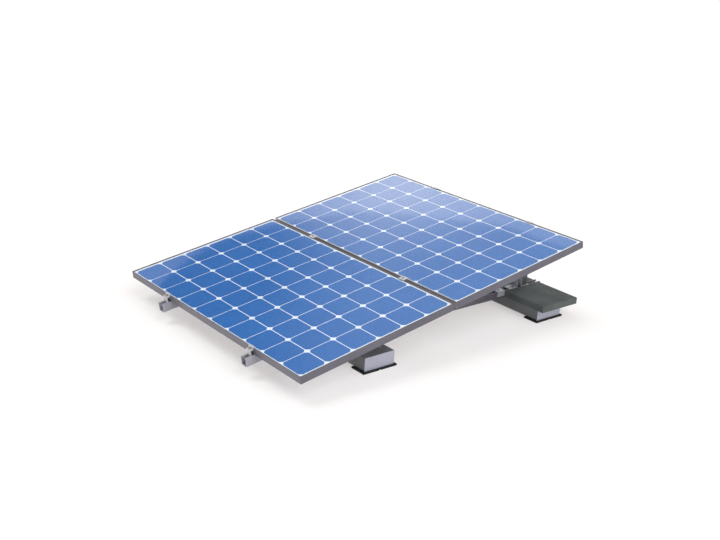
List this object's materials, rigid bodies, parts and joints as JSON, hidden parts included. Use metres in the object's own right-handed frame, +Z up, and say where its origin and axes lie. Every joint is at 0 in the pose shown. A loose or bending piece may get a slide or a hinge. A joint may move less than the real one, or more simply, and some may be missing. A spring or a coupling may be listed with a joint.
{
  "type": "ballasted flat-roof solar mount with two framed modules",
  "caption": "Tilted flat-roof frame on rubber-padded cross beams with concrete ballast tiles, carrying framed blue solar modules held by rail clamps.",
  "frame": {"origin": "centre of the footprint, on the floor under the pads", "axes": "+Z up, +Y up the slope towards the high edge and the ballast tiles, +X along the modules' long sides"},
  "size_m": [1.64, 2.1632, 0.5286],
  "materials": {
    "anodised_frame": "satin dark grey anodised",
    "module_glass": "low-iron tempered glass, lightly textured",
    "solar_cell": "blue silicon cell under encapsulant",
    "backsheet": "white polymer backsheet",
    "black_plastic": "moulded, fine texture",
    "key_aluminium": "mill finish",
    "rail_aluminium": "satin mill finish",
    "beam_aluminium": "satin folded sheet",
    "pad_rubber": "matte recycled rubber",
    "concrete": "pressed concrete, fine grain",
    "clamp_aluminium": "bright mill finish",
    "stainless_steel": "stainless",
    "bracket_steel": "galvanised"
  },
  "bodies": {
    "root": {"ballast_tile_inner_left": "concrete", "ballast_tile_inner_right": "concrete", "ballast_tile_outer_left": "concrete", "ballast_tile_outer_right": "concrete", "base_rail_left": "rail_aluminium", "base_rail_right": "rail_aluminium", "cable_glands": "black_plastic", "channel_nuts": "stainless_steel", "clamp_bolts": "stainless_steel", "foot_bolts": "stainless_steel", "foot_brackets_left": "bracket_steel", "foot_brackets_right": "bracket_steel", "front_beam": "beam_aluminium", "front_end_cap_left": "beam_aluminium", "front_end_cap_right": "beam_aluminium", "front_pads_left": "pad_rubber", "front_pads_right": "pad_rubber", "front_plates_left": "bracket_steel", "front_plates_right": "bracket_steel", "head_plates_left": "bracket_steel", "head_plates_right": "bracket_steel", "high_end_clamp_left": "clamp_aluminium", "high_end_clamp_right": "clamp_aluminium", "low_end_clamp_left": "clamp_aluminium", "low_end_clamp_right": "clamp_aluminium", "lower_backsheet": "backsheet", "lower_cells": "solar_cell", "lower_corner_keys": "key_aluminium", "lower_frame_high": "anodised_frame", "lower_frame_left": "anodised_frame", "lower_frame_low": "anodised_frame", "lower_frame_right": "anodised_frame", "lower_glass": "module_glass", "lower_junction_box": "black_plastic", "mid_clamp_left": "clamp_aluminium", "mid_clamp_right": "clamp_aluminium", "plate_bolts": "stainless_steel", "rail_bolts": "stainless_steel", "rear_beam": "beam_aluminium", "rear_end_cap_left": "beam_aluminium", "rear_end_cap_right": "beam_aluminium", "rear_leg_left": "rail_aluminium", "rear_leg_right": "rail_aluminium", "rear_pads_left": "pad_rubber", "rear_pads_right": "pad_rubber", "saddle_clip_left": "bracket_steel", "saddle_clip_right": "bracket_steel", "slope_rail_left": "rail_aluminium", "slope_rail_right": "rail_aluminium", "upper_backsheet": "backsheet", "upper_cells": "solar_cell", "upper_corner_keys": "key_aluminium", "upper_frame_high": "anodised_frame", "upper_frame_left": "anodised_frame", "upper_frame_low": "anodised_frame", "upper_frame_right": "anodised_frame", "upper_glass": "module_glass", "upper_junction_box": "black_plastic"}
  },
  "joints": []
}
